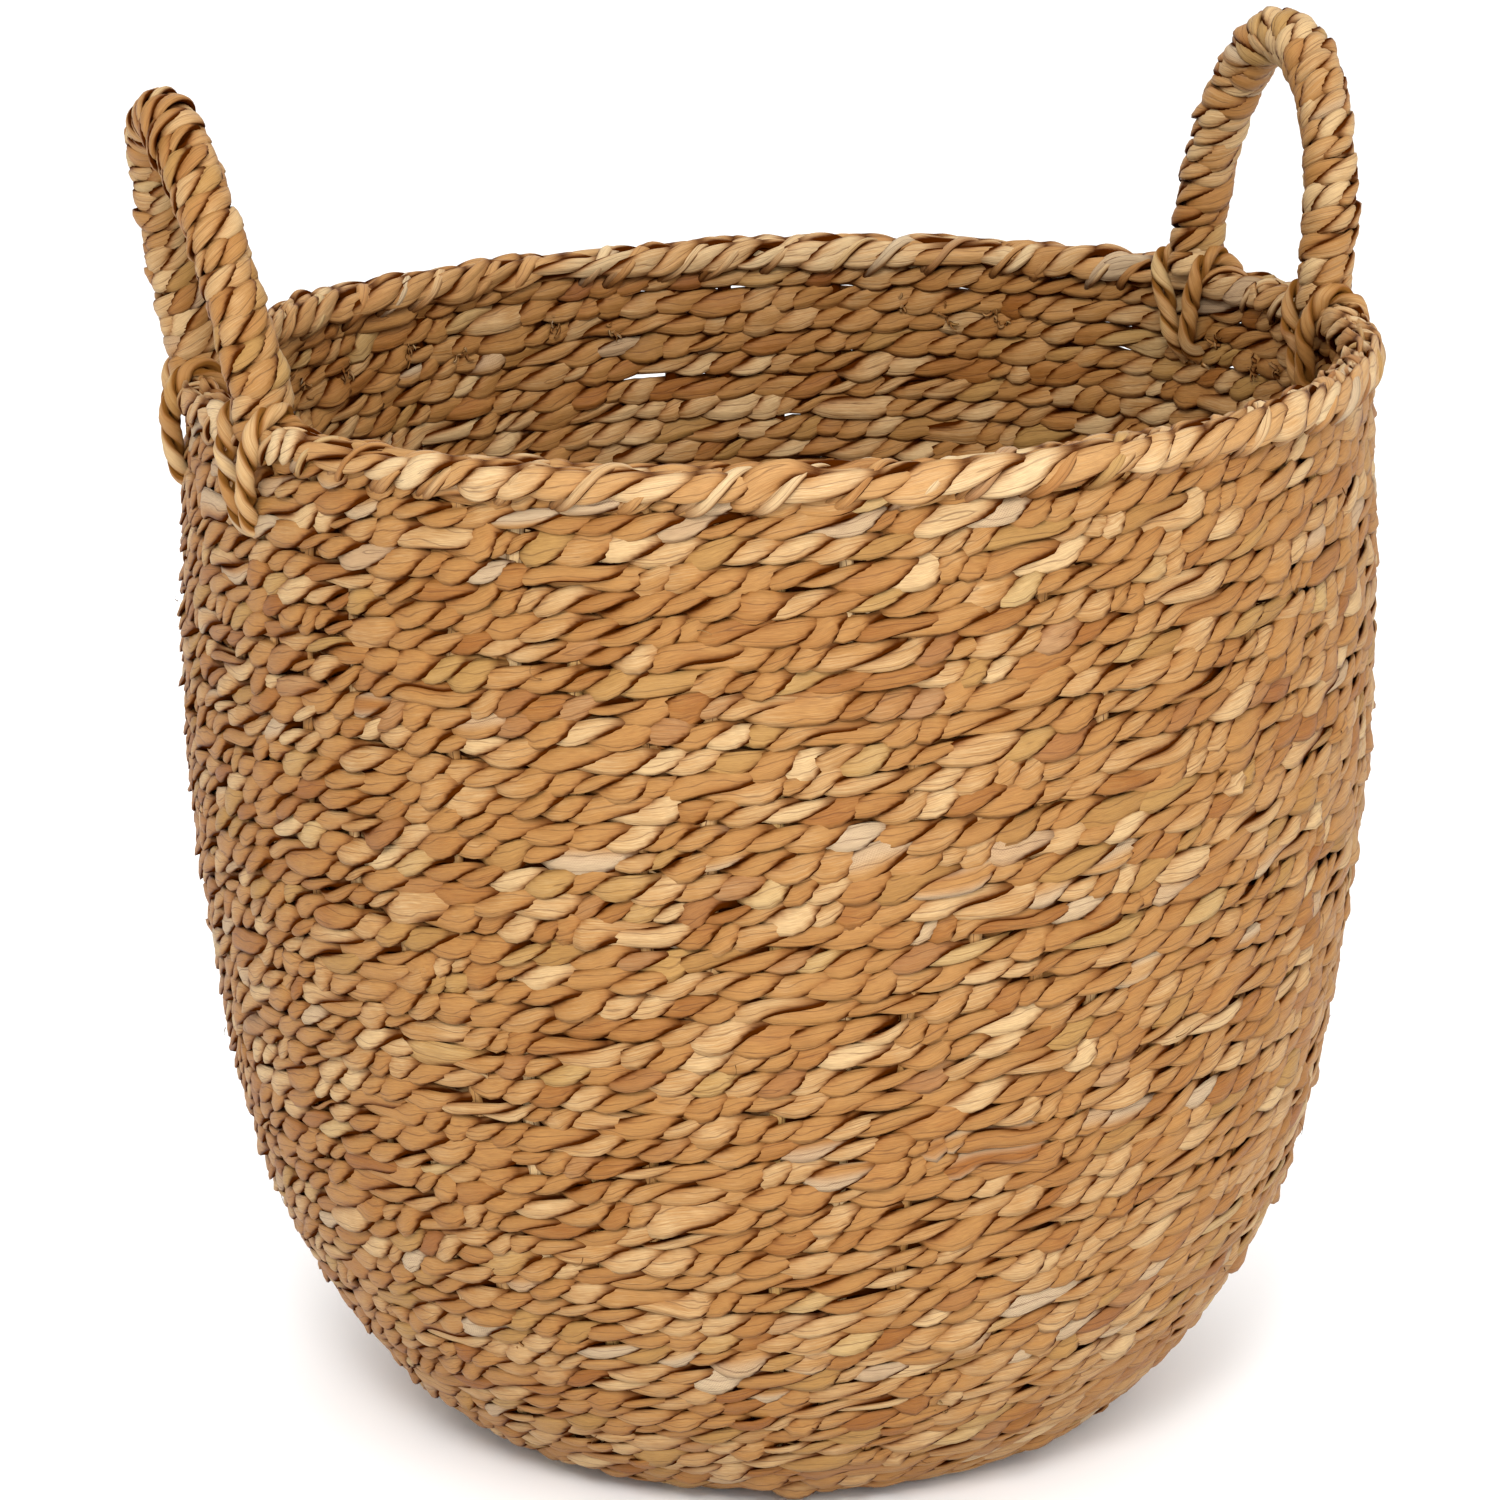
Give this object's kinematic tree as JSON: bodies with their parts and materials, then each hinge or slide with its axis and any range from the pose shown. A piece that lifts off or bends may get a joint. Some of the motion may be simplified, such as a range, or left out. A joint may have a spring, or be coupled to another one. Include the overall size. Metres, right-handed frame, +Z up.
{
  "type": "storage basket",
  "caption": "Tall round woven storage basket with rounded bottom, rope border and loop handles standing on the rim.",
  "frame": {"origin": "middle of the flat underside, on the floor", "axes": "+Z up along the body; the handles stand near -X (left, turned 6.5 degrees towards +Y) and at +X (right), and each handle's loop spans the rim's direction there"},
  "size_m": [0.412, 0.3924, 0.4566],
  "materials": {
    "outer_weft": "matte",
    "inner_weft": "matte",
    "stake": "matte",
    "border": "matte",
    "handle_wrap": "matte",
    "handle_core": "matte",
    "lashing": "matte",
    "base": "matte"
  },
  "bodies": {
    "basket": {"base_mat_outer": "base", "base_start_knot": "base", "base_mat_inner": "inner_weft", "outer_weft_band_1": "outer_weft", "outer_weft_band_2": "outer_weft", "outer_weft_band_3": "outer_weft", "outer_weft_band_4": "outer_weft", "outer_weft_band_5": "outer_weft", "outer_weft_band_6": "outer_weft", "outer_weft_band_7": "outer_weft", "inner_weft_band_1": "inner_weft", "inner_weft_band_2": "inner_weft", "inner_weft_band_3": "inner_weft", "inner_weft_band_4": "inner_weft", "inner_weft_band_5": "inner_weft", "inner_weft_band_6": "inner_weft", "inner_weft_band_7": "inner_weft", "stake_01": "stake", "stake_02": "stake", "stake_03": "stake", "stake_04": "stake", "stake_05": "stake", "stake_06": "stake", "stake_07": "stake", "stake_08": "stake", "stake_09": "stake", "stake_10": "stake", "stake_11": "stake", "stake_12": "stake", "stake_13": "stake", "stake_14": "stake", "stake_15": "stake", "stake_16": "stake", "stake_17": "stake", "stake_18": "stake", "stake_19": "stake", "stake_20": "stake", "border_rope_outer": "border", "border_rope_inner": "border", "handle_left_lashing_a_1": "lashing", "handle_left_lashing_a_2": "lashing", "handle_left_lashing_b_1": "lashing", "handle_left_lashing_b_2": "lashing", "handle_right_lashing_a_1": "lashing", "handle_right_lashing_a_2": "lashing", "handle_right_lashing_b_1": "lashing", "handle_right_lashing_b_2": "lashing", "handle_left_tail_a": "handle_core", "handle_left_tail_b": "handle_core", "handle_right_tail_a": "handle_core", "handle_right_tail_b": "handle_core"},
    "handle_left": {"handle_left_wrap": "handle_wrap", "handle_left_core": "handle_core"},
    "handle_right": {"handle_right_wrap": "handle_wrap", "handle_right_core": "handle_core"}
  },
  "joints": [
    {"name": "handle_left_tilt", "type": "hinge", "parent": "basket", "child": "handle_left", "pos_m": [-0.18291, 0.02084, 0.36181], "axis": [-0.1132, -0.9936, 0], "range_deg": [-25, 32]},
    {"name": "handle_right_tilt", "type": "hinge", "parent": "basket", "child": "handle_right", "pos_m": [0.18409, 0, 0.37322], "axis": [0, 1, 0], "range_deg": [-18, 39]}
  ]
}
